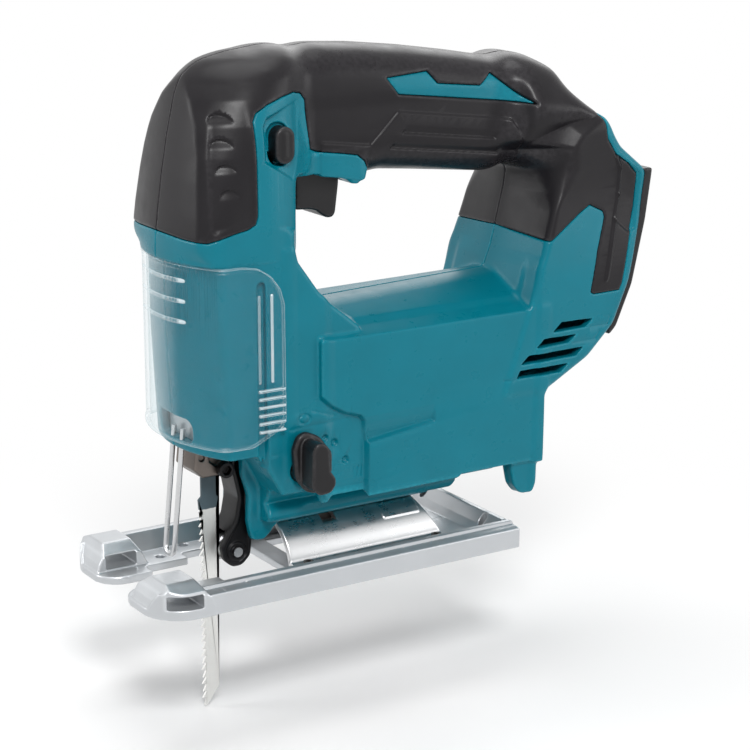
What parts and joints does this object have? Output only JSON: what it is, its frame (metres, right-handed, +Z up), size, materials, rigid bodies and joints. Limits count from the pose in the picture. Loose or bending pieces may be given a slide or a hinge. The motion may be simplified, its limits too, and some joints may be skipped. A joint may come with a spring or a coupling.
{
  "type": "jigsaw power tool",
  "caption": "Cordless top-handle jigsaw without battery: tilting sole, reciprocating blade with crank drive, roller guide, lever, trigger and clear dust cover.",
  "frame": {"origin": "on the underside of the sole, on the tool's centre plane, on the bevel axis", "axes": "+X to the battery seat at the rear, -X to the nose and the blade, +Y to the side without the selector lever, +Z up"},
  "size_m": [0.2164, 0.0803, 0.2396],
  "materials": {
    "cast_aluminium": "polished die cast",
    "bright_steel": "ground",
    "dark_steel": "blackened",
    "black_steel": "blackened cast steel",
    "blade_steel": "pale coated",
    "teal_plastic": "satin moulded",
    "grip_rubber": "matt overmoulded",
    "black_plastic": "matt moulded",
    "bronze": "sintered",
    "copper": "plated",
    "rotor_iron": "laminated",
    "magnet": "sintered",
    "board_green": "coated",
    "clear_plastic": "clear moulded"
  },
  "bodies": {
    "sole": {"sole_plate": "cast_aluminium", "tilt_bracket": "bright_steel", "bracket_screws": "dark_steel"},
    "machine": {"bevel_bolt": "dark_steel", "bevel_clamp_shoe": "dark_steel", "bevel_nut": "dark_steel", "housing_left": "teal_plastic", "housing_right": "teal_plastic", "grip_left": "grip_rubber", "grip_right": "grip_rubber", "housing_screws": "dark_steel", "battery_frame": "black_plastic", "terminal_block": "black_plastic", "terminal_blades": "copper", "gear_case": "cast_aluminium", "upper_bush": "bronze", "lower_bush": "bronze", "dust_seal": "grip_rubber", "wire_guard": "bright_steel", "motor_can": "dark_steel", "motor_magnets": "magnet", "motor_end_bell": "black_plastic", "front_bearing": "bright_steel", "rear_bearing": "bright_steel", "carbon_brushes": "magnet", "gear_spindle": "bright_steel", "arm_pivot_pin": "bright_steel", "switch_unit": "black_plastic", "control_board": "board_green", "trigger_spring": "dark_steel"},
    "rotor": {"motor_shaft": "bright_steel", "rotor_core": "rotor_iron", "commutator": "copper", "cooling_fan": "black_plastic", "pinion": "bright_steel"},
    "crank_gear": {"drive_gear": "bright_steel", "crank_pin": "bright_steel"},
    "plunger": {"plunger_rod": "bright_steel", "plunger_yoke": "dark_steel", "blade_clamp": "dark_steel", "clamp_screw": "dark_steel", "blade": "blade_steel"},
    "roller_support": {"roller_arm": "black_steel", "roller_pin": "bright_steel"},
    "guide_roller": {"roller": "bright_steel"},
    "orbital_selector": {"orbital_lever": "black_plastic", "orbital_cam": "dark_steel"},
    "trigger_key": {"trigger": "black_plastic"},
    "lock_button": {"lock_off_button": "black_plastic"},
    "cover": {"dust_cover": "clear_plastic"}
  },
  "joints": [
    {"name": "bevel_tilt", "type": "hinge", "parent": "sole", "child": "machine", "pos_m": [0, 0, 0], "axis": [1, 0, 0], "range_deg": [-45, 45]},
    {"name": "motor_spin", "type": "hinge", "parent": "machine", "child": "rotor", "pos_m": [0, 0, 0.068], "axis": [1, 0, 0], "continuous": true},
    {"name": "crank_spin", "type": "hinge", "parent": "machine", "child": "crank_gear", "pos_m": [0, 0, 0.0905], "axis": [1, 0, 0], "continuous": true},
    {"name": "blade_stroke", "type": "slide", "parent": "machine", "child": "plunger", "axis": [0, 0, 1], "range_m": [-0.018, 0]},
    {"name": "roller_swing", "type": "hinge", "parent": "machine", "child": "roller_support", "pos_m": [-0.0495, 0, 0.045], "axis": [0, 1, 0], "range_deg": [-3, 0]},
    {"name": "roller_spin", "type": "hinge", "parent": "roller_support", "child": "guide_roller", "pos_m": [-0.05405, 0, 0.0084], "axis": [0, 1, 0], "continuous": true},
    {"name": "orbital_turn", "type": "hinge", "parent": "machine", "child": "orbital_selector", "pos_m": [-0.04, 0, 0.0426], "axis": [0, 1, 0], "range_deg": [0, 90]},
    {"name": "trigger_press", "type": "slide", "parent": "machine", "child": "trigger_key", "axis": [0, 0, 1], "range_m": [0, 0.005], "stiffness_N_per_m": 300, "springref_m": -0.002, "deforming": ["trigger_spring"]},
    {"name": "lock_push", "type": "slide", "parent": "machine", "child": "lock_button", "axis": [0, 1, 0], "range_m": [0, 0.004]},
    {"name": "cover_slide", "type": "slide", "parent": "machine", "child": "cover", "axis": [0, 0, -1], "range_m": [0, 0.015]}
  ],
  "couplings": [
    {"joint": "crank_spin", "follows": "motor_spin", "ratio": -0.25}
  ]
}
